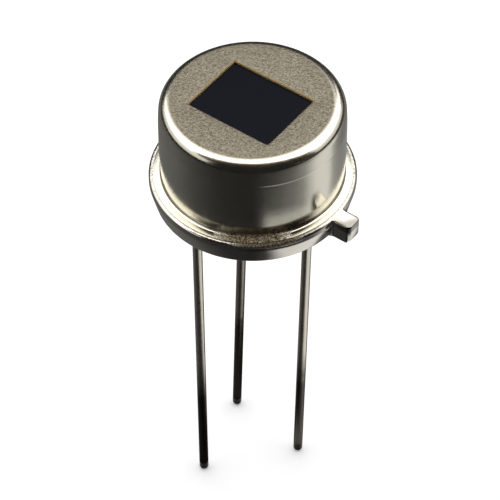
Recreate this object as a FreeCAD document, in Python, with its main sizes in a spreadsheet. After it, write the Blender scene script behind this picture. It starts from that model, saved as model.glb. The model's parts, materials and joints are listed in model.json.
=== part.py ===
import FreeCAD, Part
import math
import os
import re

import Sketcher
from FreeCAD import Placement, Rotation, Vector

# Pyroelectric motion sensor in a welded metal can, millimetres and degrees.
# Origin: centre of the header's underside, the face that seats on a board.
# +Z runs up to the window, +X points along the window's long side to the tab.

SIZES = {
    # Header: the stamped steel disc that everything stands on
    "rim_height": 1.2,
    "rim_band": 0.3,
    "rim_foot_inset": 0.22,
    "rim_bevel": 0.12,
    "foot_bevel": 0.08,
    "lip_width": 0.15,
    "seat_depth": 0.12,
    "seat_clearance": 0.04,
    "pedestal_land": 0.53,
    "pedestal_rise": 0.82,
    "pedestal_clearance": 0.22,
    "pedestal_bevel": 0.08,
    # Orientation tab on the rim
    "tab_reach": 0.88,
    "tab_width": 0.86,
    "tab_thickness": 0.94,
    "tab_heel_bevel": 0.18,
    "tab_corner_round": 0.22,
    "tab_root_round": 0.16,
    # Cap: drawn from one disc of nickel-plated sheet
    "sheet_gauge": 0.15,
    "cap_draft_angle": 0.9,
    "flange_width": 0.29,
    "flange_round": 0.14,
    "shoulder_round": 0.55,
    "aperture_length": 4.18,
    "aperture_width": 3.32,
    "aperture_corner": 0.08,
    "aperture_offset": 0.12,
    "sight_gap": 0.57,
    # Infrared filter and the epoxy that holds it under the cap's top
    "filter_margin_length": 0.41,
    "filter_margin_width": 0.38,
    "filter_thickness": 0.5,
    "bond_width": 0.28,
    "bond_height": 0.34,
    # Leads, on three of the four places of the pin circle
    "pin_circle": 5.08,
    "lead_diameter": 0.45,
    "lead_length": 19.2,
    "lead_tip_round": 0.17,
    "bend_start": 0.35,
    "bend_radius": 2.0,
    "post_stub": 0.25,
    "drain_angle": 45,
    "source_angle": 135,
    "ground_angle": 225,
    "drain_lean_angle": 0.83,
    "drain_heading_angle": 227,
    "source_lean_angle": 2.82,
    "source_heading_angle": 157,
    "ground_lean_angle": 1.36,
    "ground_heading_angle": 310,
    # Glass-to-metal seals and the brazed ground lead
    "seal_radius": 0.65,
    "seal_recess": 0.06,
    "meniscus_height": 0.1,
    "braze_gap": 0.08,
    # Spacer ring and ceramic substrate
    "spacer_clearance": 0.04,
    "spacer_wall": 0.38,
    "spacer_height": 1.3,
    "substrate_inset": 0.05,
    "substrate_thickness": 0.6,
    "post_hole_gap": 0.08,
    "opening_length": 2.6,
    "opening_width": 1.6,
    "opening_corner": 0.3,
    # Printed conductors and solder
    "track_thickness": 0.03,
    "track_width": 0.26,
    "pad_radius": 0.5,
    "via_radius": 0.1,
    "solder_radius": 0.44,
    "solder_height": 0.2,
    # Pyroelectric element: one plate, two sensing areas in series
    "support_length": 1.6,
    "support_width": 0.34,
    "support_height": 0.2,
    "adhesive_thickness": 0.03,
    "element_length": 3.6,
    "element_width": 2.6,
    "element_thickness": 0.1,
    "electrode_length": 1.0,
    "electrode_width": 2.0,
    "electrode_gap": 1.0,
    "electrode_link": 0.4,
    "electrode_thickness": 0.02,
    # Transistor under the substrate
    "jfet_place": 1.95,
    "jfet_length": 1.6,
    "jfet_width": 0.8,
    "jfet_height": 0.65,
    "jfet_standoff": 0.05,
    "jfet_draft_angle": 7,
    "jfet_pitch": 1.0,
    "jfet_lead_width": 0.2,
    "jfet_lead_gauge": 0.1,
    "jfet_lead_reach": 0.45,
    "jfet_foot": 0.25,
    # Gate resistor under the substrate
    "resistor_length": 1.0,
    "resistor_width": 0.5,
    "resistor_height": 0.3,
    "terminal_length": 0.22,
    "terminal_thickness": 0.03,
}

# A bevel this many radii wide cuts a corner as deep as the round does
BEVEL = "(2 - sqrt(2))"

# Two lengths nearer than this are the same, in millimetres
NEAR = 0.0001

# Heights above the seating plane, from the header up to the cap's top
SEAT = "(rim_height - seat_depth)"
FLANGE_TOP = f"({SEAT} + sheet_gauge)"
PEDESTAL_TOP = f"({SEAT} + pedestal_rise)"
SUBSTRATE_BOTTOM = f"({PEDESTAL_TOP} + spacer_height)"
SUBSTRATE_TOP = f"({SUBSTRATE_BOTTOM} + substrate_thickness)"
TRACK_TOP = f"({SUBSTRATE_TOP} + track_thickness)"
TRACK_BOTTOM = f"({SUBSTRATE_BOTTOM} - track_thickness)"
POST_TOP = f"({TRACK_TOP} + post_stub)"
SUPPORT_TOP = f"({TRACK_TOP} + support_height)"
ADHESIVE_TOP = f"({SUPPORT_TOP} + adhesive_thickness)"
ELEMENT_BOTTOM = f"({ADHESIVE_TOP} + electrode_thickness)"
ELEMENT_TOP = f"({ELEMENT_BOTTOM} + element_thickness)"
FILTER_BOTTOM = f"({ELEMENT_TOP} + sight_gap)"
CEILING = f"({FILTER_BOTTOM} + filter_thickness)"
CAP_TOP = f"({CEILING} + sheet_gauge)"

# Radii and lengths, from the pins out to the rim
LEAD_RADIUS = "(lead_diameter / 2)"
PIN_RADIUS = "(pin_circle / 2)"
PEDESTAL_RADIUS = f"({PIN_RADIUS} + seal_radius + pedestal_land)"
CAP_RADIUS = f"({PEDESTAL_RADIUS} + pedestal_clearance + sheet_gauge)"
FLANGE_RADIUS = f"({CAP_RADIUS} + flange_width)"
SEAT_RADIUS = f"({FLANGE_RADIUS} + seat_clearance)"
RIM_RADIUS = f"({SEAT_RADIUS} + lip_width)"
POST_HOLE_RADIUS = f"({LEAD_RADIUS} + post_hole_gap)"
SPACER_INNER = f"({PIN_RADIUS} + pad_radius + spacer_clearance)"
SPACER_OUTER = f"({SPACER_INNER} + spacer_wall)"
SUBSTRATE_RADIUS = f"({SPACER_OUTER} - substrate_inset)"
FILTER_LENGTH = "(aperture_length + 2 * filter_margin_length)"
FILTER_WIDTH = "(aperture_width + 2 * filter_margin_width)"
SUPPORT_PLACE = "((element_length - support_width) / 2)"

LEADS = ("drain", "source", "ground")

doc = FreeCAD.newDocument("pir_motion_sensor")
sheet = doc.addObject("Spreadsheet::Sheet", "sizes")
parts = []


def fill_sheet():
    """Writes each driving size beside its name, with the name as its alias."""
    for row, (name, value) in enumerate(SIZES.items(), 1):
        sheet.set(f"A{row}", name)
        sheet.set(f"B{row}", str(value))
        sheet.setAlias(f"B{row}", name)
    doc.recompute()


def on_sheet(expression):
    """Adds the sheet's name to each size that an expression uses."""
    def prefixed(match):
        word = match.group(0)
        return f"sizes.{word}" if word in SIZES else word
    return re.sub(r"[a-z_]+", prefixed, str(expression))


def size(expression):
    """Value of an expression, in millimetres or degrees."""
    value = sheet.evalExpression(on_sheet(expression))
    return float(getattr(value, "Value", value))


def bind(thing, **properties):
    """Binds properties of an object to expressions on the sheet."""
    for name, expression in properties.items():
        thing.setExpression(name, on_sheet(expression))


def keep(thing, label, z="0", x="0", y="0", turn=0.0):
    """Names a sub-part, puts it in its place and lists it for export."""
    thing.Label = label
    place = Vector(size(x), size(y), size(z))
    thing.Placement = Placement(place, Rotation(Vector(0, 0, 1), turn))
    parts.append(thing)


# Sketches and features

def new_body(name):
    return doc.addObject("PartDesign::Body", name + "_body")


def new_sketch(body, name, role="XY_Plane", lift="0"):
    """Sketch on one of the body's own planes, lifted along that plane's normal."""
    sketch = body.newObject("Sketcher::SketchObject", name)
    plane = next(item for item in body.Origin.OriginFeatures if item.Role == role)
    sketch.AttachmentSupport = (plane, [""])
    sketch.MapMode = "FlatFace"
    sketch.setExpression(".AttachmentOffset.Base.z", on_sheet(lift))
    return sketch


def pin_point(sketch, curve, point, x, y):
    """Holds one point of a curve at x, y from the sketch's origin."""
    for kind, expression in (("DistanceX", x), ("DistanceY", y)):
        constraint = Sketcher.Constraint(kind, -1, 1, curve, point, size(expression))
        index = sketch.addConstraint(constraint)
        sketch.setExpression(f"Constraints[{index}]", on_sheet(expression))


def add_circle(sketch, radius, x="0", y="0"):
    centre = Vector(size(x), size(y), 0)
    curve = sketch.addGeometry(Part.Circle(centre, Vector(0, 0, 1), size(radius)))
    pin_point(sketch, curve, 3, x, y)
    index = sketch.addConstraint(Sketcher.Constraint("Radius", curve, size(radius)))
    sketch.setExpression(f"Constraints[{index}]", on_sheet(radius))


def add_outline(sketch, corners):
    """Closed outline of straight lines through corners given as expressions."""
    points = [Vector(size(x), size(y), 0) for x, y in corners]
    first = None
    for start, end in zip(points, points[1:] + points[:1]):
        curve = sketch.addGeometry(Part.LineSegment(start, end))
        if first is None:
            first = curve
        else:
            sketch.addConstraint(Sketcher.Constraint("Coincident", curve - 1, 2, curve, 1))
    sketch.addConstraint(Sketcher.Constraint("Coincident", curve, 2, first, 1))
    for number, (x, y) in enumerate(corners):
        pin_point(sketch, first + number, 1, x, y)


def add_rectangle(sketch, length, width, x="0", y="0"):
    """Rectangle centred on x, y, with its length along the sketch's X."""
    left, right = f"{x} - {length} / 2", f"{x} + {length} / 2"
    low, high = f"{y} - {width} / 2", f"{y} + {width} / 2"
    add_outline(sketch, [(left, low), (right, low), (right, high), (left, high)])


def rectangle_corners(length, width, y="0"):
    """Corners of a rectangle that is centred on 0, y, in millimetres."""
    half_length, half_width, middle = size(f"{length} / 2"), size(f"{width} / 2"), size(y)
    sides = (-half_width, half_width)
    return [(x, middle + side) for x in (-half_length, half_length) for side in sides]


def pad(body, sketch, length, name):
    feature = body.newObject("PartDesign::Pad", name)
    feature.Profile = sketch
    bind(feature, Length=length)
    doc.recompute()


def pocket(body, sketch, name):
    """Cuts a sketch right through the body, both ways from its plane."""
    before = body.Shape.Volume
    feature = body.newObject("PartDesign::Pocket", name)
    feature.Profile = sketch
    feature.Type = "ThroughAll"
    feature.Midplane = True
    doc.recompute()
    if body.Shape.Volume >= before:
        raise RuntimeError(f"{name} cuts nothing")


def revolve(body, sketch, name):
    feature = body.newObject("PartDesign::Revolution", name)
    feature.Profile = sketch
    feature.ReferenceAxis = (sketch, ["V_Axis"])
    feature.Angle = 360
    doc.recompute()


def edges_where(feature, test):
    """Names of a feature's edges that pass a test."""
    edges = enumerate(feature.Shape.Edges, 1)
    return [f"Edge{number}" for number, edge in edges if test(edge)]


def is_circle(edge, radius, z, x=0.0, y=0.0):
    curve = edge.Curve
    if not isinstance(curve, Part.Circle):
        return False
    same_size = abs(curve.Radius - radius) < NEAR
    return same_size and (curve.Center - Vector(x, y, z)).Length < NEAR


def is_upright(edge, places):
    """True for a straight vertical edge that stands at one of the places."""
    box = edge.BoundBox
    if box.XLength > NEAR or box.YLength > NEAR:
        return False
    return any(math.hypot(box.XMin - x, box.YMin - y) < NEAR for x, y in places)


def is_level(edge, z):
    """True for an edge that lies at height z all along."""
    box = edge.BoundBox
    return abs(box.ZMin - z) < NEAR and abs(box.ZMax - z) < NEAR


def is_outer_top(edge, z, inner_radius):
    """True for an edge that lies at height z, outside the inner radius."""
    middle = edge.valueAt((edge.FirstParameter + edge.LastParameter) / 2)
    return is_level(edge, z) and math.hypot(middle.x, middle.y) > inner_radius + NEAR


def dress_edges(kind, body, test, name, **amounts):
    """Works the edges of the body's latest feature that pass a test."""
    latest = body.Tip
    names = edges_where(latest, test)
    if not names:
        raise RuntimeError(f"{name} finds no edge")
    feature = body.newObject(kind, name)
    feature.Base = (latest, names)
    bind(feature, **amounts)
    doc.recompute()


def round_edges(body, test, radius, name):
    dress_edges("PartDesign::Fillet", body, test, name, Radius=radius)


def bevel_edges(body, test, width, name):
    dress_edges("PartDesign::Chamfer", body, test, name, Size=width)


def spot(angle):
    """Place on the pin circle at an angle from the tab, as expressions."""
    return f"({PIN_RADIUS} * cos({angle}))", f"({PIN_RADIUS} * sin({angle}))"


# Header

def make_header():
    """Stamped disc: tapered foot, straight band, weld seat, pedestal and tab."""
    body = new_body("header_base")
    section = new_sketch(body, "header_section", "XZ_Plane")
    foot = f"({RIM_RADIUS} - rim_foot_inset)"
    add_outline(section, [
        ("0", "0"),
        (foot, "0"),
        (RIM_RADIUS, "rim_height - rim_band"),
        (RIM_RADIUS, "rim_height"),
        (SEAT_RADIUS, "rim_height"),
        (SEAT_RADIUS, SEAT),
        (PEDESTAL_RADIUS, SEAT),
        (PEDESTAL_RADIUS, PEDESTAL_TOP),
        ("0", PEDESTAL_TOP),
    ])
    revolve(body, section, "header_disc")
    foot_radius = size(foot)
    bevel_edges(body, lambda edge: is_circle(edge, foot_radius, 0), "foot_bevel", "foot_edge")
    pedestal_radius, pedestal_top = size(PEDESTAL_RADIUS), size(PEDESTAL_TOP)
    bevel_edges(body, lambda edge: is_circle(edge, pedestal_radius, pedestal_top),
                "pedestal_bevel", "pedestal_edge")

    heel_height = "(rim_height - tab_thickness)"
    tab = new_sketch(body, "tab_outline", lift=heel_height)
    half, flare = "(tab_width / 2)", "(tab_width / 2 + tab_root_round)"
    tip, root = f"({RIM_RADIUS} + tab_reach)", f"({RIM_RADIUS} + tab_root_round * 0.8)"
    on_rim = f"sqrt({RIM_RADIUS}^2 - {flare}^2)"
    add_outline(tab, [
        (SEAT_RADIUS, f"-{flare}"),
        (on_rim, f"-{flare}"),
        (root, f"-{half}"),
        (tip, f"-{half}"),
        (tip, half),
        (root, half),
        (on_rim, flare),
        (SEAT_RADIUS, flare),
    ])
    pad(body, tab, "tab_thickness", "tab")
    tip_corners = [(size(tip), side * size(half)) for side in (-1, 1)]
    root_corners = [(size(root), side * size(half)) for side in (-1, 1)]
    heel, tip_reach = size(heel_height), size(tip)
    bevel_edges(body, lambda edge: is_level(edge, heel) and edge.BoundBox.XMin > tip_reach - NEAR,
                "tab_heel_bevel", "tab_heel")
    round_edges(body, lambda edge: is_upright(edge, tip_corners), "tab_corner_round", "tab_tip")
    round_edges(body, lambda edge: is_upright(edge, root_corners), "tab_root_round", "tab_root")
    rim_height, lip = size("rim_height"), size(SEAT_RADIUS)
    bevel_edges(body, lambda edge: is_outer_top(edge, rim_height, lip), "rim_bevel", "rim_edge")

    seal_holes = new_sketch(body, "seal_hole_outline")
    for angle in ("drain_angle", "source_angle"):
        add_circle(seal_holes, "seal_radius", *spot(angle))
    add_circle(seal_holes, f"{LEAD_RADIUS} + braze_gap", *spot("ground_angle"))
    pocket(body, seal_holes, "lead_holes")
    keep(body, "header_base")


# Cap

def make_cap():
    """Drawn can: flange, slightly drafted wall, round shoulder and aperture."""
    body = new_body("cap")
    section = new_sketch(body, "cap_section", "XZ_Plane")
    taken_in = f"(({CAP_TOP} - {FLANGE_TOP}) * tan(cap_draft_angle))"
    top_radius = f"({CAP_RADIUS} - {taken_in})"
    add_outline(section, [
        ("0", CEILING),
        (f"{top_radius} - sheet_gauge", CEILING),
        (f"{CAP_RADIUS} - sheet_gauge", SEAT),
        (FLANGE_RADIUS, SEAT),
        (FLANGE_RADIUS, FLANGE_TOP),
        (CAP_RADIUS, FLANGE_TOP),
        (top_radius, CAP_TOP),
        ("0", CAP_TOP),
    ])
    revolve(body, section, "cap_sheet")
    # The broad shoulder is round, and the small bends are bevels of the same depth
    bends = [
        (round_edges, top_radius, CAP_TOP, "shoulder_round", "shoulder_outside"),
        (bevel_edges, f"{top_radius} - sheet_gauge", CEILING,
         f"(shoulder_round - sheet_gauge) * {BEVEL}", "shoulder_inside"),
        (bevel_edges, CAP_RADIUS, FLANGE_TOP, f"flange_round * {BEVEL}", "flange_outside"),
        (bevel_edges, f"{CAP_RADIUS} - sheet_gauge", SEAT,
         f"(flange_round + sheet_gauge) * {BEVEL}", "flange_inside"),
    ]
    for dress, radius, height, amount, name in bends:
        edge_radius, edge_height = size(radius), size(height)
        dress(body, lambda edge: is_circle(edge, edge_radius, edge_height), amount, name)

    aperture = new_sketch(body, "aperture_outline")
    add_rectangle(aperture, "aperture_length", "aperture_width", y="-aperture_offset")
    pocket(body, aperture, "aperture")
    corners = rectangle_corners("aperture_length", "aperture_width", "-aperture_offset")
    round_edges(body, lambda edge: is_upright(edge, corners), "aperture_corner", "aperture_corners")
    keep(body, "cap")


# Filter

def make_filter():
    """Coated silicon plate that closes the aperture from inside."""
    plate = doc.addObject("Part::Box", "filter_plate")
    bind(plate, Length=FILTER_LENGTH, Width=FILTER_WIDTH, Height="filter_thickness")
    corner = f"-{FILTER_LENGTH} / 2", f"-{FILTER_WIDTH} / 2 - aperture_offset"
    keep(plate, "filter_window", FILTER_BOTTOM, *corner)


def make_filter_bond():
    """Epoxy bead in the corner between the plate's edge and the cap's top."""
    body = new_body("filter_bond")
    outline = new_sketch(body, "bond_outline")
    length = f"({FILTER_LENGTH} + 2 * bond_width)"
    width = f"({FILTER_WIDTH} + 2 * bond_width)"
    add_rectangle(outline, length, width)
    pad(body, outline, "bond_height", "bond_block")
    corners = rectangle_corners(length, width)
    bevel_edges(body, lambda edge: is_upright(edge, corners), "bond_width", "bond_corners")
    bevel_edges(body, lambda edge: is_level(edge, 0), "bond_width * 0.8", "bond_slope")
    hollow = new_sketch(body, "bond_hollow_outline")
    add_rectangle(hollow, FILTER_LENGTH, FILTER_WIDTH)
    pocket(body, hollow, "bond_hollow")
    keep(body, "filter_bond", f"{CEILING} - bond_height", "0", "-aperture_offset")


# Leads and their seals

def make_lead(name):
    """Round lead: straight post, slight bend under the header, leaning run."""
    body = new_body(f"lead_{name}")
    lean = f"{name}_lean_angle"
    bend_x = f"bend_radius * (1 - cos({lean}))"
    bend_y = f"-bend_start - bend_radius * sin({lean})"
    run = f"(lead_length - bend_start - bend_radius * sin({lean}))"
    tip_x = f"{bend_x} + {run} * tan({lean})"
    stations = [("0", POST_TOP), ("0", "-bend_start"), (bend_x, bend_y), (tip_x, "-lead_length")]
    top, start, end, tip = [Vector(size(x), size(y), 0) for x, y in stations]

    path = new_sketch(body, f"{name}_path", "XZ_Plane")
    post = path.addGeometry(Part.LineSegment(top, start))
    turn = math.radians(size(lean))
    radius = size("bend_radius")
    circle = Part.Circle(start + Vector(radius, 0, 0), Vector(0, 0, 1), radius)
    bend = path.addGeometry(Part.ArcOfCircle(circle, math.pi, math.pi + turn))
    straight = path.addGeometry(Part.LineSegment(end, tip))
    path.addConstraint(Sketcher.Constraint("Coincident", post, 2, bend, 1))
    path.addConstraint(Sketcher.Constraint("Coincident", bend, 2, straight, 1))
    index = path.addConstraint(Sketcher.Constraint("Radius", bend, radius))
    path.setExpression(f"Constraints[{index}]", on_sheet("bend_radius"))
    pin_point(path, post, 1, *stations[0])
    pin_point(path, post, 2, *stations[1])
    pin_point(path, straight, 1, *stations[2])
    pin_point(path, straight, 2, *stations[3])

    section = new_sketch(body, f"{name}_section", lift=POST_TOP)
    add_circle(section, LEAD_RADIUS)
    doc.recompute()
    wire = body.newObject("PartDesign::AdditivePipe", f"{name}_wire")
    wire.Profile = section
    wire.Spine = (path, ["Edge1", "Edge2", "Edge3"])
    doc.recompute()
    lowest = -size("lead_length") + size("lead_diameter")
    round_edges(body, lambda edge: edge.BoundBox.ZMax < lowest, "lead_tip_round", f"{name}_tip")
    x, y = spot(f"{name}_angle")
    keep(body, f"lead_{name}", "0", x, y, size(f"{name}_heading_angle"))


def make_seal(name):
    """Glass bead fused into the header's hole, which climbs a little up the lead."""
    body = new_body(f"glass_seal_{name}")
    depth = f"({PEDESTAL_TOP} - 2 * seal_recess)"
    section = new_sketch(body, f"{name}_bead_section", "XZ_Plane")
    add_outline(section, [
        (LEAD_RADIUS, "0"),
        ("seal_radius", "0"),
        ("seal_radius", depth),
        (LEAD_RADIUS, f"{depth} + meniscus_height"),
    ])
    revolve(body, section, f"{name}_bead")
    x, y = spot(f"{name}_angle")
    keep(body, f"glass_seal_{name}", "seal_recess", x, y)


def make_ground_braze():
    """Braze that fills the gap round the ground lead, flush with the header."""
    body = new_body("ground_braze")
    ring = new_sketch(body, "braze_outline")
    add_circle(ring, f"{LEAD_RADIUS} + braze_gap")
    add_circle(ring, LEAD_RADIUS)
    pad(body, ring, PEDESTAL_TOP, "braze_ring")
    x, y = spot("ground_angle")
    keep(body, "ground_braze", "0", x, y)


# Substrate

def make_spacer():
    """Insulating ring that carries the substrate above the pedestal."""
    body = new_body("substrate_spacer")
    ring = new_sketch(body, "spacer_outline")
    add_circle(ring, SPACER_OUTER)
    add_circle(ring, SPACER_INNER)
    pad(body, ring, "spacer_height", "spacer_ring")
    keep(body, "substrate_spacer", PEDESTAL_TOP)


def make_substrate():
    """Alumina disc: three post holes, a via and the opening below the element."""
    body = new_body("substrate")
    disc = new_sketch(body, "substrate_outline")
    add_circle(disc, SUBSTRATE_RADIUS)
    pad(body, disc, "substrate_thickness", "substrate_disc")
    opening = new_sketch(body, "opening_outline")
    add_rectangle(opening, "opening_length", "opening_width")
    pocket(body, opening, "opening")
    corners = rectangle_corners("opening_length", "opening_width")
    bevel_edges(body, lambda edge: is_upright(edge, corners), "opening_corner", "opening_corners")
    holes = new_sketch(body, "post_hole_outline")
    for name in LEADS:
        add_circle(holes, POST_HOLE_RADIUS, *spot(f"{name}_angle"))
    add_circle(holes, "via_radius", *via_place())
    pocket(body, holes, "post_holes")
    keep(body, "substrate", SUBSTRATE_BOTTOM)


def via_place():
    """The gate conductor passes through the substrate beside the opening."""
    return "(-opening_length / 2 + track_width)", "(opening_width / 2 + track_width)"


def strip(points, z):
    """Printed conductor of the track width; each run overlaps the next one's corner."""
    width, thickness = size("track_width"), size("track_thickness")
    runs = []
    for (x0, y0), (x1, y1) in zip(points, points[1:]):
        length = math.hypot(x1 - x0, y1 - y0) + width
        run = Part.makeBox(length, width, thickness, Vector(-width / 2, -width / 2, 0))
        turn = Rotation(Vector(0, 0, 1), math.degrees(math.atan2(y1 - y0, x1 - x0)))
        run.Placement = Placement(Vector(x0, y0, z), turn)
        runs.append(run)
    return runs


def post_pad(name, z):
    """Printed eight-sided pad round a post's hole."""
    x, y = [size(value) for value in spot(f"{name}_angle")]
    radius, thickness = size("pad_radius"), size("track_thickness")
    turns = [math.radians(corner * 45) for corner in range(9)]
    rim = [Vector(x + radius * math.cos(turn), y + radius * math.sin(turn), z) for turn in turns]
    plate = Part.Face(Part.makePolygon(rim)).extrude(Vector(0, 0, thickness))
    return plate.cut(Part.makeCylinder(size(POST_HOLE_RADIUS), thickness, Vector(x, y, z)))


def block(length, width, height, x, y, z):
    """Box centred on x, y that stands on z."""
    return Part.makeBox(length, width, height, Vector(x - length / 2, y - width / 2, z))


def fused(pieces):
    return pieces[0].multiFuse(pieces[1:]).removeSplitter()


def without_posts(shape):
    """Opens a conductor again where a strip's end runs over a post's hole."""
    low, depth = size(f"{TRACK_BOTTOM} - 1"), size("substrate_thickness + 2")
    for name in LEADS:
        x, y = [size(value) for value in spot(f"{name}_angle")]
        shape = shape.cut(Part.makeCylinder(size(POST_HOLE_RADIUS), depth, Vector(x, y, low)))
    return shape


def jfet_pads():
    """Centres of the transistor's feet, by name."""
    foot = size("jfet_width / 2 + jfet_lead_reach - jfet_foot / 2")
    middle, half_pitch = size("jfet_place"), size("jfet_pitch / 2")
    return {
        "drain": (foot, middle),
        "source": (-foot, middle + half_pitch),
        "gate": (-foot, middle - half_pitch),
    }


def resistor_ends():
    """Centres of the resistor's gate end and ground end."""
    x = size(spot("ground_angle")[0])
    reach = size("(resistor_length - terminal_length) / 2")
    return (x, reach), (x, -reach)


def make_tracks():
    """Printed conductors on both faces; the gate runs through the via."""
    top, bottom = size(SUBSTRATE_TOP), size(TRACK_BOTTOM)
    thickness = size("track_thickness")
    support, half = size(SUPPORT_PLACE), size("support_length / 2")
    pads, (gate_end, ground_end) = jfet_pads(), resistor_ends()
    posts = {name: [size(value) for value in spot(f"{name}_angle")] for name in LEADS}
    via = [size(value) for value in via_place()]
    foot_length, foot_width = size("jfet_foot + 0.1"), size("jfet_lead_width + 0.1")
    end_width = size("resistor_width")
    end_length = size("terminal_length")

    def support_pad(x):
        return block(size("support_width"), size("support_length"), thickness, x, 0, top)

    def foot_pad(name):
        return block(foot_length, foot_width, thickness, *pads[name], bottom)

    def end_pad(place):
        return block(end_width, end_length, thickness, *place, bottom)

    corner = (support, posts["ground"][1])
    ground_top = [post_pad("ground", top), support_pad(support)]
    ground_top += strip([posts["ground"], corner, (support, -half)], top)
    gate_top = [support_pad(-support)] + strip([via, (-support, half)], top)
    via_length = thickness * 2 + size("substrate_thickness")
    barrel = Part.makeCylinder(size("via_radius"), via_length, Vector(*via, bottom))
    gate_bottom = [foot_pad("gate"), end_pad(gate_end), barrel]
    gate_bottom += strip([pads["gate"], via, (gate_end[0], via[1]), gate_end], bottom)
    ground_bottom = [post_pad("ground", bottom), end_pad(ground_end)]
    ground_bottom += strip([posts["ground"], ground_end], bottom)
    conductors = [fused(ground_top), fused(gate_top + gate_bottom), fused(ground_bottom)]
    for name in ("drain", "source"):
        conductors.append(post_pad(name, top))
        run = [post_pad(name, bottom), foot_pad(name)] + strip([pads[name], posts[name]], bottom)
        conductors.append(fused(run))
    conductors = [without_posts(conductor) for conductor in conductors]
    tracks = doc.addObject("Part::Feature", "tracks")
    tracks.Shape = Part.makeCompound(conductors)
    keep(tracks, "thick_film_tracks")


def make_post_solder():
    """Solder cones that join the three posts to their printed rings."""
    cones = []
    for name in LEADS:
        x, y = spot(f"{name}_angle")
        cone = doc.addObject("Part::Cone", f"solder_cone_{name}")
        bind(cone, Radius1="solder_radius", Radius2=f"{LEAD_RADIUS} + 0.04", Height="solder_height")
        post = doc.addObject("Part::Cylinder", f"solder_bore_{name}")
        bind(post, Radius=LEAD_RADIUS, Height="solder_height")
        ring = doc.addObject("Part::Cut", f"solder_ring_{name}")
        ring.Base = cone
        ring.Tool = post
        ring.Placement.Base = Vector(size(x), size(y), 0)
        cones.append(ring)
    group = doc.addObject("Part::Compound", "solder_rings")
    group.Links = cones
    keep(group, "post_solder", TRACK_TOP)


# Element

def make_support(name, side):
    """Conductive ceramic block under one end of the element."""
    bar = doc.addObject("Part::Box", f"support_{name}")
    bind(bar, Length="support_width", Width="support_length", Height="support_height")
    x = f"{side} * {SUPPORT_PLACE} - support_width / 2"
    keep(bar, f"element_support_{name}", TRACK_TOP, x, "-support_length / 2")


def make_adhesive():
    """Conductive epoxy between the two blocks and the element."""
    pads = []
    for side in (-1, 1):
        film = doc.addObject("Part::Box", "adhesive_left" if side < 0 else "adhesive_right")
        bind(film, Length="support_width", Width="support_length", Height="adhesive_thickness")
        x = size(f"{side} * {SUPPORT_PLACE} - support_width / 2")
        film.Placement.Base = Vector(x, size("-support_length / 2"), 0)
        pads.append(film)
    group = doc.addObject("Part::Compound", "adhesive_films")
    group.Links = pads
    keep(group, "element_adhesive", SUPPORT_TOP)


def make_element():
    """Thin pyroelectric plate that bridges the two blocks."""
    plate = doc.addObject("Part::Box", "element_plate")
    bind(plate, Length="element_length", Width="element_width", Height="element_thickness")
    keep(plate, "pyroelectric_plate", ELEMENT_BOTTOM, "-element_length / 2", "-element_width / 2")


def make_front_electrode():
    """Two absorbing areas joined by a link, on the plate's upper face."""
    body = new_body("front_electrode")
    middle = "((electrode_gap + electrode_length) / 2)"
    outer, inner = f"{middle} + electrode_length / 2", f"{middle} - electrode_length / 2"
    high, low = "electrode_width / 2", "electrode_link / 2"
    quarter = [(outer, high), (inner, high), (inner, low)]
    left_top = [(f"-({x})", y) for x, y in reversed(quarter)]
    left_bottom = [(f"-({x})", f"-({y})") for x, y in quarter]
    right_bottom = [(x, f"-({y})") for x, y in reversed(quarter)]
    outline = new_sketch(body, "front_electrode_outline")
    add_outline(outline, quarter + left_top + left_bottom + right_bottom)
    pad(body, outline, "electrode_thickness", "front_film")
    keep(body, "front_electrode", ELEMENT_TOP)


def make_back_electrode(name, side):
    """Film under one sensing area that runs out to its block."""
    film = doc.addObject("Part::Box", f"back_film_{name}")
    reach = "((element_length - electrode_gap) / 2)"
    bind(film, Length=reach, Width="electrode_width", Height="electrode_thickness")
    x = "electrode_gap / 2" if side > 0 else "-element_length / 2"
    keep(film, f"back_electrode_{name}", ADHESIVE_TOP, x, "-electrode_width / 2")


# Transistor and resistor, hung below the substrate

def make_jfet_body():
    """Moulded package with drafted sides, parted at its leads."""
    body = new_body("jfet_body")
    outline = new_sketch(body, "jfet_outline")
    add_rectangle(outline, "jfet_width", "jfet_length")
    moulding = body.newObject("PartDesign::Pad", "jfet_moulding")
    moulding.Profile = outline
    moulding.SideType = "Two sides"
    bind(moulding, Length="jfet_height / 2", Length2="jfet_height / 2",
         TaperAngle="-jfet_draft_angle", TaperAngle2="-jfet_draft_angle")
    doc.recompute()
    keep(body, "jfet_body", f"{TRACK_BOTTOM} - jfet_standoff - jfet_height / 2", "0", "jfet_place")


def make_jfet_leads():
    """Three bent leads: out of the moulding, up, and flat on their pads."""
    gauge, width = size("jfet_lead_gauge"), size("jfet_lead_width")
    side, reach, foot = size("jfet_width / 2"), size("jfet_lead_reach"), size("jfet_foot")
    middle = size(f"{TRACK_BOTTOM} - jfet_standoff - jfet_height / 2")
    pad_face = size(TRACK_BOTTOM)
    heel = side + reach - foot
    profile = [
        (side, middle - gauge / 2),
        (heel, middle - gauge / 2),
        (heel + gauge / 2, pad_face - gauge),
        (side + reach, pad_face - gauge),
        (side + reach, pad_face),
        (heel - gauge / 2, pad_face),
        (heel - gauge, middle + gauge / 2),
        (side, middle + gauge / 2),
    ]
    leads = []
    for x, y in jfet_pads().values():
        way = 1 if x > 0 else -1
        corners = [Vector(way * out, y - width / 2, z) for out, z in profile]
        face = Part.Face(Part.makePolygon(corners + corners[:1]))
        leads.append(face.extrude(Vector(0, width, 0)))
    group = doc.addObject("Part::Feature", "jfet_lead_group")
    group.Shape = Part.makeCompound(leads)
    keep(group, "jfet_leads")


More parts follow.
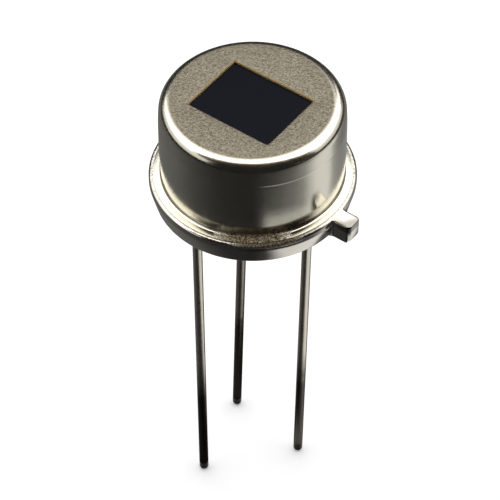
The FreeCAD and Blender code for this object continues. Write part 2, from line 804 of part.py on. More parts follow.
def make_resistor_body():
    chip = doc.addObject("Part::Box", "resistor_chip")
    length = "(resistor_length - 2 * terminal_thickness)"
    bind(chip, Length="resistor_width", Width=length, Height="resistor_height")
    place = spot("ground_angle")[0]
    z = f"{TRACK_BOTTOM} - terminal_thickness - resistor_height"
    keep(chip, "gate_resistor_body", z, f"{place} - resistor_width / 2", f"-{length} / 2")


def make_resistor_terminals():
    """Metal end caps that wrap the chip's two ends."""
    film = size("terminal_thickness")
    width, height = size("resistor_width"), size("resistor_height") + 2 * film
    top = size(TRACK_BOTTOM)
    length = size("resistor_length") - 2 * film
    x = size(spot("ground_angle")[0])
    chip = block(width, length, height - 2 * film, x, 0, top - height + film)
    caps = []
    for place in resistor_ends():
        cap = block(width + 2 * film, size("terminal_length"), height, *place, top - height)
        caps.append(cap.cut(chip))
    group = doc.addObject("Part::Feature", "terminal_caps")
    group.Shape = Part.makeCompound(caps)
    keep(group, "gate_resistor_terminals")


def check():
    """Stops on any object that failed and on any sub-part that isn't sound."""
    for thing in doc.Objects:
        if {"Invalid", "Error"} & set(thing.State):
            raise RuntimeError(f"{thing.Name} failed: {thing.State}")
    for part in parts:
        if part.Shape.isNull() or not part.Shape.isValid() or not part.Shape.Solids:
            raise RuntimeError(f"{part.Label} isn't a sound solid")


def export():
    os.makedirs("parts", exist_ok=True)
    for part in parts:
        part.Shape.exportStep(f"parts/{part.Label}.step")
        box = part.Shape.BoundBox
        print(f"{part.Label:26s} {len(part.Shape.Solids)} solid(s) {part.Shape.Volume:9.4f} mm3"
              f"  z {box.ZMin:8.3f} to {box.ZMax:7.3f}")


fill_sheet()
make_header()
make_cap()
make_filter()
make_filter_bond()
for lead in LEADS:
    make_lead(lead)
make_seal("drain")
make_seal("source")
make_ground_braze()
make_spacer()
make_substrate()
make_tracks()
make_post_solder()
make_support("gate", -1)
make_support("ground", 1)
make_adhesive()
make_element()
make_front_electrode()
make_back_electrode("gate", -1)
make_back_electrode("ground", 1)
make_jfet_body()
make_jfet_leads()
make_resistor_body()
make_resistor_terminals()
doc.recompute()
check()
export()
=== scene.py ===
# %% [markdown]
# A pyroelectric motion sensor in a welded metal can, standing on three long leads.
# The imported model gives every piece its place. This lesson replaces the faceted pieces that
# show with smooth ones, gives each surface a finish, and lights the part as in a studio.

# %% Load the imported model
import json
import math

import bmesh
import bpy
from mathutils import Matrix, Vector

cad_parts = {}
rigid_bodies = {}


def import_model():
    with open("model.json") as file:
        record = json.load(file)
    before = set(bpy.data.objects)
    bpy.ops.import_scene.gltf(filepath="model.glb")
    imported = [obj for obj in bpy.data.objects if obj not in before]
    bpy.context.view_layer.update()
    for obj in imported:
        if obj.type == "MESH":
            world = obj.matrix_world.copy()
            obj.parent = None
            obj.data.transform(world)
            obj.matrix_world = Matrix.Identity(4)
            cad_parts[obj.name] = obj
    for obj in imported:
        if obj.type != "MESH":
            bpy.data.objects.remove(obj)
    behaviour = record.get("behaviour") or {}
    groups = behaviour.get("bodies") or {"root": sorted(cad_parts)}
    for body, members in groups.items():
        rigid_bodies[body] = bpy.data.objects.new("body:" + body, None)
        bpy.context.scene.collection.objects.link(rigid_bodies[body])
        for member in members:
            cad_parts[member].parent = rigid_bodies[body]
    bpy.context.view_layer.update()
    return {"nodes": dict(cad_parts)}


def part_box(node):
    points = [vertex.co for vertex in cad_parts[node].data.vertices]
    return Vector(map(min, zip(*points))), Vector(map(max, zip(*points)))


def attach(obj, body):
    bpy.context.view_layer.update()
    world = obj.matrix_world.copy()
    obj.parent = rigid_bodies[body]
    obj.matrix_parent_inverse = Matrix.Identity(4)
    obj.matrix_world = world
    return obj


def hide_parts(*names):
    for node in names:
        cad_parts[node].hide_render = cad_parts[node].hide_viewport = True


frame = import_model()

MM = 0.001

# %% [markdown]
# The camera stands about 100 mm away, 47.5 degrees above the part and 36.65 degrees round it.
# A long lens at that distance gives the slight narrowing that the photograph shows. The
# camera aims at a point beside the axis, a little below the header, and is rolled by a
# quarter of a degree.

# %% Camera
CAMERA_TURN = math.radians(36.65)
CAMERA_RISE = math.radians(47.5)
CAMERA_DISTANCE = 100 * MM
CAMERA_ROLL = -0.004
PIXELS_PER_RADIAN = 2198.6
PHOTO_PIXELS = 500
SENSOR_WIDTH = 36
AIM_RIGHT, AIM_HEIGHT = -0.135 * MM, -3.99 * MM

# Right of the picture and away from the camera, as directions over the ground
RIGHT = Vector((math.cos(CAMERA_TURN), math.sin(CAMERA_TURN), 0))
AWAY = Vector((-math.sin(CAMERA_TURN), math.cos(CAMERA_TURN), 0))
UP = Vector((0, 0, 1))


def place(right, away, up):
    """A point given in millimetres to the right, away from the camera and up."""
    return (RIGHT * right + AWAY * away + UP * up) * MM


bpy.ops.object.select_all(action="DESELECT")
sight = AWAY * math.cos(CAMERA_RISE) - UP * math.sin(CAMERA_RISE)
target = RIGHT * AIM_RIGHT + UP * AIM_HEIGHT
bpy.ops.object.camera_add(location=target - sight * CAMERA_DISTANCE)
camera = bpy.context.object
camera.rotation_mode = "QUATERNION"
camera.rotation_quaternion = sight.to_track_quat("-Z", "Y")
camera.rotation_quaternion @= Matrix.Rotation(CAMERA_ROLL, 3, "Z").to_quaternion()
camera.data.sensor_width = SENSOR_WIDTH
camera.data.lens = SENSOR_WIDTH * PIXELS_PER_RADIAN / PHOTO_PIXELS
camera.data.clip_start, camera.data.clip_end = 0.005, 5
bpy.context.scene.camera = camera
print("lens in mm:", round(camera.data.lens, 1))

# %% [markdown]
# Every shape below is made in edit mode, where operators act on what is selected. So the
# first helpers select by place, and add a primitive whose place and size lie in its mesh.

# %% Selecting and adding


def near(a, b):
    return abs(a - b) < 1e-7


def choose(piece, kind, test):
    """Selects the vertices, edges or faces of the piece in edit mode that pass a test."""
    bpy.ops.mesh.select_mode(type=kind)
    bpy.ops.mesh.select_all(action="DESELECT")
    mesh = bmesh.from_edit_mesh(piece.data)
    items = {"VERT": mesh.verts, "EDGE": mesh.edges, "FACE": mesh.faces}[kind]
    chosen = [item for item in items if test(item)]
    for item in chosen:
        item.select_set(True)
    mesh.select_flush_mode()
    bmesh.update_edit_mesh(piece.data)
    return len(chosen)


def primitive(add, **settings):
    """Adds a primitive by itself, with its place and its size in its mesh."""
    bpy.ops.object.select_all(action="DESELECT")
    add(**settings)
    bpy.ops.object.transform_apply(location=True, rotation=True, scale=True)
    return bpy.context.object


# %% [markdown]
# Cans, headers and leads are round, so each is drawn as half of its section and spun about
# its axis, as a lathe would do. A single vertex is extruded from corner to corner, the
# corners that are round on the real piece are bevelled, and the line is spun. A cylinder
# with cuts and bevels would do too, but the section keeps every size of the piece in view.

# %% Turned pieces
RING_STEPS = 192


def draw_line(name, corners):
    """Draws a line through corners given as radius and height, and stays in edit mode."""
    piece = primitive(bpy.ops.mesh.primitive_plane_add, size=MM)
    piece.name = name
    bpy.ops.object.mode_set(mode="EDIT")
    bpy.ops.mesh.select_mode(type="VERT")
    bpy.ops.mesh.select_all(action="SELECT")
    bpy.ops.mesh.merge(type="CENTER")
    bpy.ops.transform.translate(value=(corners[0][0], 0, corners[0][1]))
    for (x0, z0), (x1, z1) in zip(corners, corners[1:]):
        step = (x1 - x0, 0, z1 - z0)
        bpy.ops.mesh.extrude_region_move(TRANSFORM_OT_translate={"value": step})
    return piece


def turned(name, corners, rounds, steps=RING_STEPS):
    """Piece spun from a section; rounds lists corner number, radius and facets."""
    piece = draw_line(name, corners)
    for number, radius, facets in rounds:
        x, z = corners[number]
        choose(piece, "VERT", lambda v: near(v.co.x, x) and near(v.co.z, z))
        bpy.ops.mesh.bevel(offset=radius, segments=facets, affect="VERTICES", profile=0.5)
    bpy.ops.mesh.select_all(action="SELECT")
    bpy.ops.mesh.spin(steps=steps, angle=math.tau, center=(0, 0, 0), axis=(0, 0, 1))
    bpy.ops.mesh.select_all(action="SELECT")
    bpy.ops.mesh.remove_doubles(threshold=1e-7)
    bpy.ops.mesh.normals_make_consistent(inside=False)
    bpy.ops.object.mode_set(mode="OBJECT")
    return piece


# %% [markdown]
# Holes and the tab come from one shape cutting or joining another. A finished piece is
# shaded smooth. Its normals follow the larger faces, so flat faces stay flat up to their
# rounded edges, and a sharp turn of the section is marked as a crease.

# %% Joining, smoothing and placing


def apply_modifier(piece, kind, **settings):
    """Adds a modifier with its settings and applies it at once."""
    bpy.ops.object.select_all(action="DESELECT")
    bpy.context.view_layer.objects.active = piece
    piece.select_set(True)
    modifier = piece.modifiers.new(kind.lower(), kind)
    for key, value in settings.items():
        setattr(modifier, key, value)
    bpy.ops.object.modifier_apply(modifier=modifier.name)


def cut_with(piece, cutter, operation="DIFFERENCE"):
    """Cuts the piece with a closed shape, or joins them, and removes the shape."""
    apply_modifier(piece, "BOOLEAN", operation=operation, object=cutter, solver="EXACT")
    bpy.data.objects.remove(cutter)


def smooth(piece, degrees=35, crease=None):
    """Smooth shading that follows the larger faces, with creases at sharp edges."""
    bpy.ops.object.select_all(action="DESELECT")
    bpy.context.view_layer.objects.active = piece
    piece.select_set(True)
    bpy.ops.object.shade_smooth_by_angle(angle=math.radians(degrees))
    if crease:
        bpy.ops.object.mode_set(mode="EDIT")
        print(piece.name, "creased edges:", choose(piece, "EDGE", crease))
        bpy.ops.mesh.mark_sharp()
        bpy.ops.object.mode_set(mode="OBJECT")
    apply_modifier(piece, "WEIGHTED_NORMAL", keep_sharp=True, weight=80)


def finish_piece(piece, *nodes):
    """Lets the piece stand for its CAD nodes and ride on the part."""
    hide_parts(*nodes)
    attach(piece, "root")
    places = [v.co for v in piece.data.vertices]
    low, high = [[f(p[i] for p in places) for i in range(3)] for f in (min, max)]
    print(piece.name, len(piece.data.polygons), "faces,",
          "box in mm", [round(v / MM, 3) for v in (*low, *high)])


# %% [markdown]
# The sizes of the cap and the header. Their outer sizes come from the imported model's boxes,
# so the smooth pieces fill the same space. The others repeat the sizes in the part's source.

# %% Sizes shared by the cap and the header
cap_low, cap_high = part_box("cap")
header_low, header_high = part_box("header_base")
GAUGE = 0.15 * MM
SEAT = cap_low.z
CAP_TOP = cap_high.z
FLANGE_RADIUS = cap_high.x
FLANGE_WIDTH = 0.29 * MM
CAP_RADIUS = FLANGE_RADIUS - FLANGE_WIDTH
RIM_RADIUS = -header_low.x
LIP_HEIGHT = 0.12 * MM
RIM_HEIGHT = SEAT + LIP_HEIGHT
LIP_WIDTH = 0.15 * MM
SEAT_RADIUS = RIM_RADIUS - LIP_WIDTH
print("can radius in mm:", round(CAP_RADIUS / MM, 3), "rim radius in mm:", round(RIM_RADIUS / MM, 3))

# %% [markdown]
# The cap is drawn from one disc of sheet: a flange for welding, a wall, a broad round
# shoulder and a flat top. The wall is not quite straight. It draws in a little at its foot,
# where the flange was pressed, and leans in below the shoulder. The section has the sheet's
# own thickness, so the aperture shows a real edge.

# %% Cap section, spun
FLANGE_ROUND = 0.14 * MM
wall = [
    (CAP_RADIUS - 0.09 * MM, SEAT + GAUGE),   # neck above the flange
    (CAP_RADIUS - 0.045 * MM, 1.75 * MM),     # end of the neck
    (CAP_RADIUS - 0.02 * MM, 2.7 * MM),       # widest place
    (CAP_RADIUS - 0.04 * MM, 4.33 * MM),      # from here the wall leans in
    (CAP_RADIUS - 0.1 * MM, CAP_TOP),         # corner that becomes the shoulder
]
inner_wall = [(r - GAUGE, z) for r, z in wall]
inner_wall[0] = (inner_wall[0][0], SEAT)
inner_wall[-1] = (inner_wall[-1][0], CAP_TOP - GAUGE)
cap = turned("cap_shell", [
    (0, CAP_TOP - GAUGE), *reversed(inner_wall), (FLANGE_RADIUS, SEAT),
    (FLANGE_RADIUS, SEAT + GAUGE), *wall, (0, CAP_TOP),
], [
    (12, 0.5 * MM, 20),             # shoulder
    (11, 0.08 * MM, 4),             # the wall's three soft bends, from the top
    (10, 0.35 * MM, 8),
    (9, 0.2 * MM, 6),
    (8, FLANGE_ROUND, 8),           # between wall and flange
    (7, 0.015 * MM, 2),             # upper edge of the flange
    (5, FLANGE_ROUND + GAUGE, 6),   # between wall and flange, inside
    (1, 0.25 * MM, 6),              # shoulder, inside
])
print("cap before punching:", len(cap.data.polygons), "faces")

# %% [markdown]
# The aperture is punched with a block whose upright edges are rounded, as a press does it.
# Its upper edge is then broken with a small bevel, because a punch draws the sheet down a
# little where it enters.

# %% Aperture
APERTURE_SIZE = Vector((4.18, 3.32)) * MM
APERTURE_CORNER = 0.08 * MM
APERTURE_EDGE = 0.075 * MM
APERTURE_REACH = 3 * MM
window_low, window_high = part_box("filter_window")
aperture_middle = (window_low + window_high) / 2
punch = primitive(bpy.ops.mesh.primitive_cube_add, size=1, scale=(*APERTURE_SIZE, 8 * GAUGE),
                  location=(aperture_middle.x, aperture_middle.y, CAP_TOP))
bpy.ops.object.mode_set(mode="EDIT")
choose(punch, "EDGE", lambda e: near(e.verts[0].co.x, e.verts[1].co.x)
       and near(e.verts[0].co.y, e.verts[1].co.y))
bpy.ops.mesh.bevel(offset=APERTURE_CORNER, segments=5, affect="EDGES")
bpy.ops.object.mode_set(mode="OBJECT")
cut_with(cap, punch)


def on_aperture(edge):
    """Whether an edge lies on the top, at the rim of the hole."""
    ends = [v.co for v in edge.verts]
    return (all(near(p.z, CAP_TOP) and math.hypot(p.x, p.y) < APERTURE_REACH for p in ends)
            and edge.calc_face_angle(0) > 1)


bpy.ops.object.mode_set(mode="EDIT")
print("edges round the aperture:", choose(cap, "EDGE", on_aperture))
bpy.ops.mesh.bevel(offset=APERTURE_EDGE, segments=6, affect="EDGES")
bpy.ops.object.mode_set(mode="OBJECT")
smooth(cap)
finish_piece(cap, "cap")

# %% [markdown]
# The header is a stamped disc with a tapered foot, a lip round the weld seat and a pedestal
# that centres the cap. It is turned like the cap, with the rim's top edge rounded, as
# tumbling and plating leave it. The weld has left a narrow ring between flange and lip.

# %% Header disc
RIM_ROUND = 0.12 * MM
PEDESTAL_TOP = header_high.z
PEDESTAL_GAP, FOOT_TAPER = 0.22 * MM, 0.22 * MM
PEDESTAL_RADIUS = CAP_RADIUS - GAUGE - PEDESTAL_GAP
FOOT_RADIUS = RIM_RADIUS - FOOT_TAPER
BAND_FOOT = RIM_HEIGHT - 0.3 * MM
WELD_RADIUS = FLANGE_RADIUS + 0.003 * MM
WELD_HEIGHT = RIM_HEIGHT - 0.012 * MM
header = turned("header_disc", [
    (0, 0), (FOOT_RADIUS, 0), (RIM_RADIUS, BAND_FOOT), (RIM_RADIUS, RIM_HEIGHT),
    (SEAT_RADIUS, RIM_HEIGHT), (SEAT_RADIUS, WELD_HEIGHT), (WELD_RADIUS, WELD_HEIGHT),
    (WELD_RADIUS, SEAT), (PEDESTAL_RADIUS, SEAT), (PEDESTAL_RADIUS, PEDESTAL_TOP),
    (0, PEDESTAL_TOP),
], [
    (1, 0.1 * MM, 5),    # foot
    (3, RIM_ROUND, 8),   # top of the rim
    (9, 0.12 * MM, 4),   # pedestal
])
print("header before the tab:", len(header.data.polygons), "faces")

# %% [markdown]
# The tab is drawn flat from three strips: the tab itself, a flare where it meets the rim, and
# a heel that lies inside the rim. Its outline is rounded, and it is extruded down to its
# thickness. Its upper edge is rounded like the rim before the two are joined, because a
# bevel across the finished joint would tear it. Its top lies a few thousandths of a
# millimetre below the lip, so that no two faces share a plane.

# %% Tab outline
TAB_HALF = 0.43 * MM
TAB_ROOT = RIM_RADIUS + 0.04 * MM
TAB_TIP = header_high.x
TAB_TOP = RIM_HEIGHT - 0.004 * MM
FLARE_HALF = TAB_HALF + 0.06 * MM
ON_RIM = math.sqrt(RIM_RADIUS ** 2 - FLARE_HALF ** 2)
TAB_HEEL = SEAT_RADIUS + 0.02 * MM
TIP_CORNER, ROOT_CORNER = 0.22 * MM, 0.05 * MM
bpy.ops.object.select_all(action="DESELECT")
bpy.ops.mesh.primitive_plane_add(size=1, location=((TAB_ROOT + TAB_TIP) / 2, 0, TAB_TOP))
tab = bpy.context.object
bpy.ops.transform.resize(value=(TAB_TIP - TAB_ROOT, 2 * TAB_HALF, 1))
bpy.ops.object.transform_apply(location=True, rotation=True, scale=True)
bpy.ops.object.mode_set(mode="EDIT")
for x_from, x_to, widen in ((TAB_ROOT, ON_RIM, FLARE_HALF / TAB_HALF), (ON_RIM, TAB_HEEL, 1)):
    choose(tab, "EDGE", lambda e: all(near(v.co.x, x_from) for v in e.verts))
    bpy.ops.mesh.extrude_region_move(TRANSFORM_OT_translate={"value": (x_to - x_from, 0, 0)})
    bpy.ops.transform.resize(value=(1, widen, 1), center_override=(x_to, 0, TAB_TOP))
bpy.ops.mesh.select_all(action="SELECT")
bpy.ops.mesh.dissolve_faces()
for x, corner in ((TAB_TIP, TIP_CORNER), (TAB_ROOT, ROOT_CORNER)):
    print("tab corners rounded:", choose(tab, "VERT", lambda v: near(v.co.x, x)))
    bpy.ops.mesh.bevel(offset=corner, segments=6, affect="VERTICES", profile=0.5)

# %% Tab thickness and edges
TAB_THICKNESS = 0.94 * MM
TIP_DEPTH = 0.15 * MM
TIP_UNDERSIDE_ROUND, TAB_EDGE_ROUND = 0.17 * MM, 0.1 * MM
bpy.ops.mesh.select_all(action="SELECT")
bpy.ops.mesh.extrude_region_move(TRANSFORM_OT_translate={"value": (0, 0, -TAB_THICKNESS)})
bpy.ops.mesh.select_all(action="SELECT")
bpy.ops.mesh.normals_make_consistent(inside=False)
choose(tab, "EDGE", lambda e: all(near(v.co.z, TAB_TOP - TAB_THICKNESS) and
                                  v.co.x > TAB_TIP - TIP_DEPTH for v in e.verts))
bpy.ops.mesh.bevel(offset=TIP_UNDERSIDE_ROUND, segments=4, affect="EDGES")
choose(tab, "EDGE", lambda e: all(near(v.co.z, TAB_TOP) for v in e.verts) and
       not all(near(v.co.x, TAB_HEEL) for v in e.verts))
bpy.ops.mesh.bevel(offset=TAB_EDGE_ROUND, segments=6, affect="EDGES", clamp_overlap=True)
bpy.ops.object.mode_set(mode="OBJECT")
cut_with(header, tab, "UNION")
print("header with its tab:", len(header.data.polygons), "faces")

# %% [markdown]
# Two leads pass the header in wide holes that glass fills, and the third in a narrow one,
# where it is brazed. The holes are drilled with cylinders. The last merge joins points that
# drilling leaves less than a thousandth of a millimetre apart.

# %% Holes for the leads
PIN_RADIUS = 2.54 * MM
PIN_ANGLES = {"drain": 45, "source": 135, "ground": 225}
HOLE_RADII = {"drain": 0.65 * MM, "source": 0.65 * MM, "ground": 0.305 * MM}
SLIVER = 0.0005 * MM
for name, angle in PIN_ANGLES.items():
    turn = math.radians(angle)
    spot = (PIN_RADIUS * math.cos(turn), PIN_RADIUS * math.sin(turn), MM)
    drill = primitive(bpy.ops.mesh.primitive_cylinder_add, vertices=64, depth=6 * MM,
                      radius=HOLE_RADII[name], location=spot)
    cut_with(header, drill)
bpy.ops.object.mode_set(mode="EDIT")
bpy.ops.mesh.select_all(action="SELECT")
bpy.ops.mesh.remove_doubles(threshold=SLIVER)
bpy.ops.object.mode_set(mode="OBJECT")
smooth(header, crease=lambda e: all(near(v.co.z, BAND_FOOT) for v in e.verts))
finish_piece(header, "header_base")

# %% [markdown]
# Each lead is drawn wire. It leaves the header straight, bends very slightly and runs on to
# a rounded tip, each lead at its own lean. A ring is extruded down, spun through the bend,
# and extruded along the lean, and the last ring is bevelled. A curve with a round profile
# would do as well, but this way the tip is part of the same closed mesh. The wires end a
# hair short of 19.2 mm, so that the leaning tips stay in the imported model's box.

# %% Leads
LEAD_DIAMETER = 0.45 * MM
LEAD_LENGTH = 19.198 * MM
TIP_ROUND = 0.15 * MM
BEND_START = 0.35 * MM
BEND_RADIUS = 2 * MM
LEANS = {"drain": (0.83, 227), "source": (2.82, 157), "ground": (1.36, 310)}
lead_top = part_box("lead_drain")[1].z
leads = {}
for name, (lean, heading) in LEANS.items():
    lean, heading, angle = map(math.radians, (lean, heading, PIN_ANGLES[name]))
    wire = primitive(bpy.ops.mesh.primitive_circle_add, vertices=40, radius=LEAD_DIAMETER / 2,
                     fill_type="NGON", location=(0, 0, lead_top))
    wire.name = f"wire_{name}"
    bpy.ops.object.mode_set(mode="EDIT")
    bpy.ops.mesh.select_all(action="SELECT")
    down = -BEND_START - lead_top
    bpy.ops.mesh.extrude_region_move(TRANSFORM_OT_translate={"value": (0, 0, down)})
    bpy.ops.mesh.spin(steps=4, angle=lean, center=(BEND_RADIUS, 0, -BEND_START), axis=(0, 1, 0))
    bent = -BEND_START - BEND_RADIUS * math.sin(lean)
    run = LEAD_LENGTH + bent
    onward = (run * math.tan(lean), 0, -run)
    bpy.ops.mesh.extrude_region_move(TRANSFORM_OT_translate={"value": onward})
    choose(wire, "EDGE", lambda e: all(v.co.z < -LEAD_LENGTH + LEAD_DIAMETER for v in e.verts))
    bpy.ops.mesh.bevel(offset=TIP_ROUND, segments=6, affect="EDGES")
    bpy.ops.mesh.select_all(action="SELECT")
    bpy.ops.mesh.normals_make_consistent(inside=False)
    bpy.ops.object.mode_set(mode="OBJECT")
    spot = (PIN_RADIUS * math.cos(angle), PIN_RADIUS * math.sin(angle), 0)
    wire.data.transform(Matrix.Rotation(heading, 4, "Z"))
    wire.data.transform(Matrix.Translation(spot))
    smooth(wire, 50)
    finish_piece(wire, f"lead_{name}")
    leads[name] = wire

# %% [markdown]
# Finishes are built from nodes. The first class wraps one socket, so that sums on it read
# like ordinary sums. The second holds a material, and one of its methods adds any other node
# with its settings and its inputs.

# %% Sums on sockets


class Value:
    """An output socket that adds its own maths nodes."""

    def __init__(self, finish, socket):
        self.finish = finish
        self.socket = socket

    def _maths(self, operation, *values):
        return self.finish.add("ShaderNodeMath", {"operation": operation}, dict(enumerate(values)))

    def __add__(self, other):
        return self._maths("ADD", self, other)

    def __mul__(self, other):
        return self._maths("MULTIPLY", self, other)

    def __sub__(self, other):
        return self._maths("SUBTRACT", self, other)

    def __rsub__(self, other):
        return self._maths("SUBTRACT", other, self)

    def __neg__(self):
        return self._maths("SUBTRACT", 0, self)

    def __truediv__(self, other):
        return self._maths("DIVIDE", self, other)

    def __pow__(self, other):
        return self._maths("POWER", self, other)

    __radd__ = __add__
    __rmul__ = __mul__

    def clamp(self):
        return self._maths("MINIMUM", self._maths("MAXIMUM", self, 0.0), 1.0)


# %% Finishes


class Finish:
    """A material and the nodes that it is built from."""

    def __init__(self, name, **constants):
        self.material = bpy.data.materials.new(name)
        self.material.use_nodes = True
        self.nodes = self.material.node_tree.nodes
        self.links = self.material.node_tree.links
        self.surface = self.nodes["Principled BSDF"]
        self.set(**constants)

    def add(self, kind, settings, inputs, output=0):
        """Adds a node with its settings and the values or links of its sockets."""
        node = self.nodes.new(kind)
        for key, value in settings.items():
            if key == "stops":
                ramp = node.color_ramp
                for position, colour in value[2:]:
                    ramp.elements.new(position)
                for element, (position, colour) in zip(ramp.elements, sorted(value)):
                    element.position, element.color = position, (*colour, 1)
            else:
                setattr(node, key, value)
        for key, value in inputs.items():
            self.feed(node.inputs[key], value)
        return Value(self, node.outputs[output])

    def feed(self, socket, value):
        """Links a value to a socket, or sets the socket to a number."""
        if isinstance(value, Value):
            self.links.new(value.socket, socket)
        else:
            socket.default_value = value

    def set(self, **inputs):
        """Sets the shader's sockets, or feeds them what varies over the surface."""
        for key, value in inputs.items():
            socket = key.replace("_", " ").title().replace("Ior", "IOR")
            self.feed(self.surface.inputs[socket], value)

    def where(self):
        """Object coordinates in millimetres."""
        point = self.add("ShaderNodeTexCoord", {}, {}, "Object")
        return self.add("ShaderNodeVectorMath", {"operation": "SCALE"}, {0: point, "Scale": 1 / MM})

    def parts(self, point):
        """The three parts of a point."""
        node = self.add("ShaderNodeSeparateXYZ", {}, {0: point}).socket.node
        return [Value(self, output) for output in node.outputs]

    def along(self, point, direction):
        """How far a point lies in a direction."""
        return self.add("ShaderNodeVectorMath", {"operation": "DOT_PRODUCT"},
                        {0: point, 1: direction}, "Value")

    def noise(self, point, scale, detail=3.0, roughness=0.55, stretch=(1, 1, 1)):
        """Noise from 0 to 1 whose grains measure about 1 / scale millimetres."""
        mapped = self.add("ShaderNodeMapping", {}, {"Vector": point, "Scale": stretch})
        return self.add("ShaderNodeTexNoise", {}, {"Vector": mapped, "Scale": scale,
                        "Detail": detail, "Roughness": roughness}, "Fac")

    def step(self, value, low, high):
        """A soft step from 0 at low to 1 at high."""
        return self.add("ShaderNodeMapRange", {"interpolation_type": "SMOOTHSTEP"},
                        {"Value": value, "From Min": low, "From Max": high})

    def mix(self, factor, first, second):
        """Mixes two colours."""
        first, second = [c if isinstance(c, Value) else (*c, 1) for c in (first, second)]
        return self.add("ShaderNodeMix", {"data_type": "RGBA"}, {0: factor, 6: first, 7: second}, 2)

    def bump(self, height, strength, distance, **onto):
        """Normals of a relief whose height of 1 stands distance millimetres high."""
        return self.add("ShaderNodeBump", {}, {"Height": height, "Strength": strength,
                                               "Distance": distance * MM, **onto})

    def wear(self, piece):
        """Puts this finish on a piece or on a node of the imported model."""
        piece.data.materials.clear()
        piece.data.materials.append(self.material)

    def report(self):
        print(self.material.name, "has", len(self.nodes), "nodes")


# %% [markdown]
# The weld left a dark, grainy stain on the side of the flange that faces the camera. The
# wall's foot and the rim's band beside it get painted shade, a darker colour that stands for
# the dark things they mirror there. Cap and header share the stain, so one function makes it
# for both: a band whose ends are ragged, filled with specks of soot and of straw-coloured
# oxide. Each mark has a middle, given as a direction from the axis.

# %% Stain of the weld, and where painted shade goes
CAP_STAIN = place(0, -1, 0).normalized()
# Middle of the painted shade on the wall's foot, which stands for the dark things it mirrors
FOOT_PAINTED_SHADE = place(0.26, -0.97, 0).normalized()
RIM_STAIN = place(0.14, -1, 0).normalized()
# Middle of the painted shade on the rim's band, which stands for the dark ground it mirrors
RIM_PAINTED_SHADE = place(0.34, -0.94, 0).normalized()
# Colour of the stain's soot specks, and of the painted shade on the wall's foot
SOOT_AND_SHADE, GOLDEN = (0.055, 0.045, 0.032), (0.62, 0.52, 0.36)
# How strong both painted shades are
PAINTED_SHADE_STRENGTH = 0.75


def scorched(finish, point, middle):
    """Where the weld left a stain round its middle direction, and the stain's specks."""
    across = finish.along(point, middle.cross(UP)) ** 2
    ahead = finish.step(finish.along(point, middle), 2.0, 3.0)
    ragged = across + 2.6 * finish.noise(point, 7.0, 3.0, 0.75)
    flakes = finish.step(finish.noise(point, 15.0, 2.0, 0.7), 0.4, 0.6)
    return ahead * (1 - finish.step(ragged, 1.9, 4.4)), flakes


# %% [markdown]
# The cap is nickel plated. Its flat top is pebbled by the press, so it looks matt and
# warm grey, while the shoulder and the wall were stretched smooth and stay bright. Two
# materials would need a seam in the mesh, so one material shows both, and masks of height
# and radius say where each look holds.

# %% Cap: where each look holds
nickel_cap = Finish("nickel_cap", metallic=1.0)
point = nickel_cap.where()
x, y, z = nickel_cap.parts(point)
radius = (x * x + y * y) ** 0.5

# The punch: warm sheared metal round the aperture
top = CAP_TOP / MM
sheared = 1 - nickel_cap.step(z, top - 0.03, top - 0.001)
sheared = sheared * (1 - nickel_cap.step(radius, 2.9, 3.0))

# The flat top, which ends a little off centre
off_centre = place(-0.05, 0, 0) / MM
top_radius = ((x - off_centre.x) ** 2 + (y - off_centre.y) ** 2) ** 0.5
flat = nickel_cap.step(z, 5.0, 5.1) * (1 - nickel_cap.step(top_radius, 3.45, 3.64))
flat = flat * (1 - sheared)

# The weld: its stain on the flange; and painted shade on the wall's foot, for the dark things it
# mirrors
scorch, flakes = scorched(nickel_cap, point, CAP_STAIN)
scorch = scorch * (1 - nickel_cap.step(z, 1.3, 1.5))
# Painted shade: the wall's foot is darkened here, standing for the dark flange it mirrors
painted_shade = nickel_cap.step(nickel_cap.along(point, FOOT_PAINTED_SHADE), 3.2, 3.9)
painted_shade = painted_shade * nickel_cap.step(z, 1.25, 1.35) * (1 - nickel_cap.step(z, 1.55, 1.8))

# The drawing die: a ridge a few micrometres high, below the shoulder
ridge = nickel_cap.step(z, 4.22, 4.31) - nickel_cap.step(z, 4.31, 4.36)
nickel_cap.report()

# %% Cap: grains, colours and relief
RIDGE_HEIGHT = 0.0045
pebbles = nickel_cap.noise(point, 8.0, 3.0, 0.65)
grit = nickel_cap.noise(point, 19.0, 2.0, 0.6)
cloud = nickel_cap.noise(point, 0.9, 3.0)
drawn = nickel_cap.noise(point, 1.0, 4.0, 0.6, (14, 14, 0.5))
smudge = nickel_cap.noise(point, 1.6, 4.0, 0.6)

speckle = nickel_cap.step(pebbles * 0.45 + grit * 0.55, 0.32, 0.68)
top_colour = nickel_cap.mix(speckle, (0.105, 0.091, 0.066), (0.31, 0.275, 0.21))
wall_colour = nickel_cap.mix(smudge, (0.59, 0.565, 0.475), (0.68, 0.65, 0.555))
# The painted shade darkens the wall's foot
wall_colour = nickel_cap.mix(painted_shade * PAINTED_SHADE_STRENGTH, wall_colour, SOOT_AND_SHADE)
wall_colour = nickel_cap.mix(scorch, wall_colour, nickel_cap.mix(flakes, SOOT_AND_SHADE, GOLDEN))
wall_colour = nickel_cap.mix(sheared, wall_colour, (1.0, 0.76, 0.36))

flat_roughness = 0.4 + cloud * 0.12
wall_roughness = 0.11 + smudge * 0.1 + drawn * 0.05 + scorch * 0.3 + sheared * 0.35
relief = flat * (pebbles * 0.55 + grit * 0.3) + (1 - flat) * (drawn * 0.05 + smudge * 0.05)
relief = relief + scorch * (grit * 0.8 + flakes * 0.4)
pressed = nickel_cap.bump(relief, 0.7, 0.06)
nickel_cap.set(
    base_color=nickel_cap.mix(flat, wall_colour, top_colour),
    roughness=flat * flat_roughness + (1 - flat) * wall_roughness,
    normal=nickel_cap.bump(ridge, 1.0, RIDGE_HEIGHT, Normal=pressed),
)
nickel_cap.wear(cap)
nickel_cap.report()
